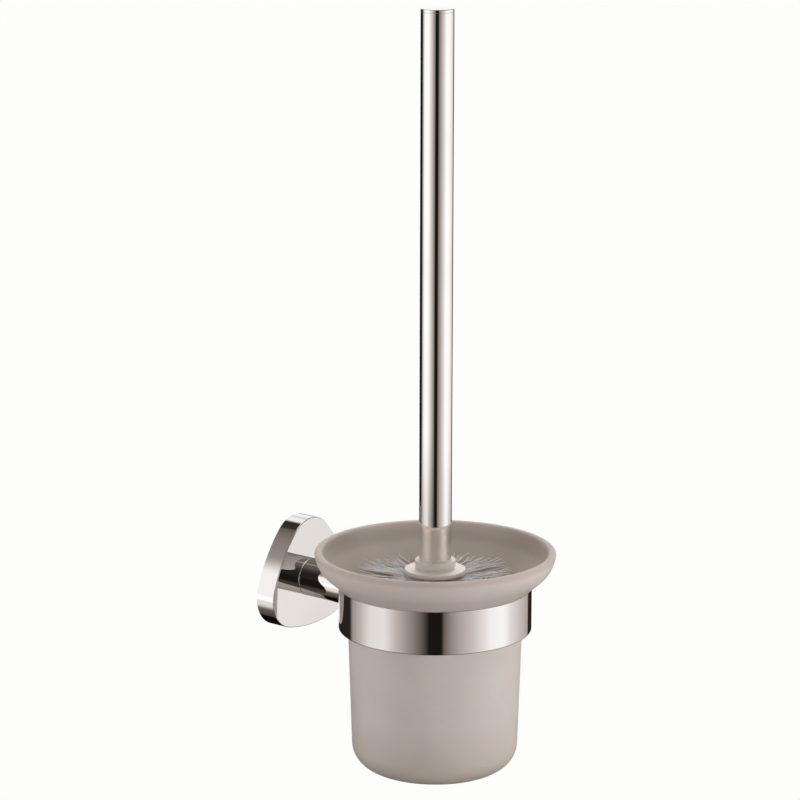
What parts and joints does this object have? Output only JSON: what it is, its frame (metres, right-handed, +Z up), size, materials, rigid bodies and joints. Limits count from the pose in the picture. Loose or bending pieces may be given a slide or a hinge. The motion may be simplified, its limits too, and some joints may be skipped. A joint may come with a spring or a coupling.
{
  "type": "toilet brush holder",
  "caption": "Wall-hung toilet brush holder: a frosted glass cup with a flared bowl rim in a chrome ring on a short arm and rounded-triangle wall plate, with a long chrome-handled brush.",
  "frame": {"origin": "on the wall, at the middle of the wall plate's back face, on the arm's axis", "axes": "+Y into the wall, -Y out of it along the arm, +Z up along the brush handle"},
  "size_m": [0.1187, 0.1519, 0.375],
  "materials": {
    "polished_chrome": "mirror polished chrome plate",
    "bracket_steel": "zinc-plated, satin",
    "screw_steel": "stainless, satin",
    "insert_brass": "turned brass",
    "clear_gasket": "translucent silicone",
    "frosted_glass": "acid-etched, frosted all over",
    "white_plastic": "moulded polypropylene, satin",
    "nylon_bristle": "white nylon filament"
  },
  "bodies": {
    "wall_mount": {"wall_plate": "polished_chrome", "wall_bracket": "bracket_steel", "bracket_post": "bracket_steel", "arm": "polished_chrome", "arm_grub_screw": "screw_steel", "holder_ring": "polished_chrome", "ring_screw": "screw_steel"},
    "gasket": {"seat_gasket": "clear_gasket"},
    "cup": {"glass_cup": "frosted_glass"},
    "brush_head": {"brush_core": "white_plastic", "head_stud": "screw_steel", "bristle_end_tuft": "nylon_bristle", "bristle_row_1": "nylon_bristle", "bristle_row_2": "nylon_bristle", "bristle_row_3": "nylon_bristle", "bristle_row_4": "nylon_bristle", "bristle_row_5": "nylon_bristle", "bristle_row_6": "nylon_bristle", "bristle_row_7": "nylon_bristle", "bristle_row_8": "nylon_bristle"},
    "collar": {"head_collar": "white_plastic"},
    "handle": {"handle_tube": "polished_chrome", "handle_cap": "polished_chrome", "handle_insert": "insert_brass"}
  },
  "joints": [
    {"name": "cup_turn", "type": "hinge", "parent": "wall_mount", "child": "gasket", "pos_m": [0, -0.0925, 0], "axis": [0, 0, 1], "continuous": true},
    {"name": "cup_lift", "type": "slide", "parent": "gasket", "child": "cup", "axis": [0, 0, 1], "range_m": [0, 0.12]},
    {"name": "brush_lift", "type": "slide", "parent": "cup", "child": "brush_head", "axis": [0, 0, 1], "range_m": [0, 0.13]},
    {"name": "handle_rise", "type": "slide", "parent": "brush_head", "child": "collar", "axis": [0, 0, 1], "range_m": [0, 0.0125]},
    {"name": "handle_unscrew", "type": "hinge", "parent": "collar", "child": "handle", "pos_m": [0, -0.0925, 0], "axis": [0, 0, 1], "range_deg": [0, 3600]}
  ],
  "couplings": [
    {"joint": "handle_rise", "follows": "handle_unscrew", "m_per_rad": 0.00019894}
  ]
}
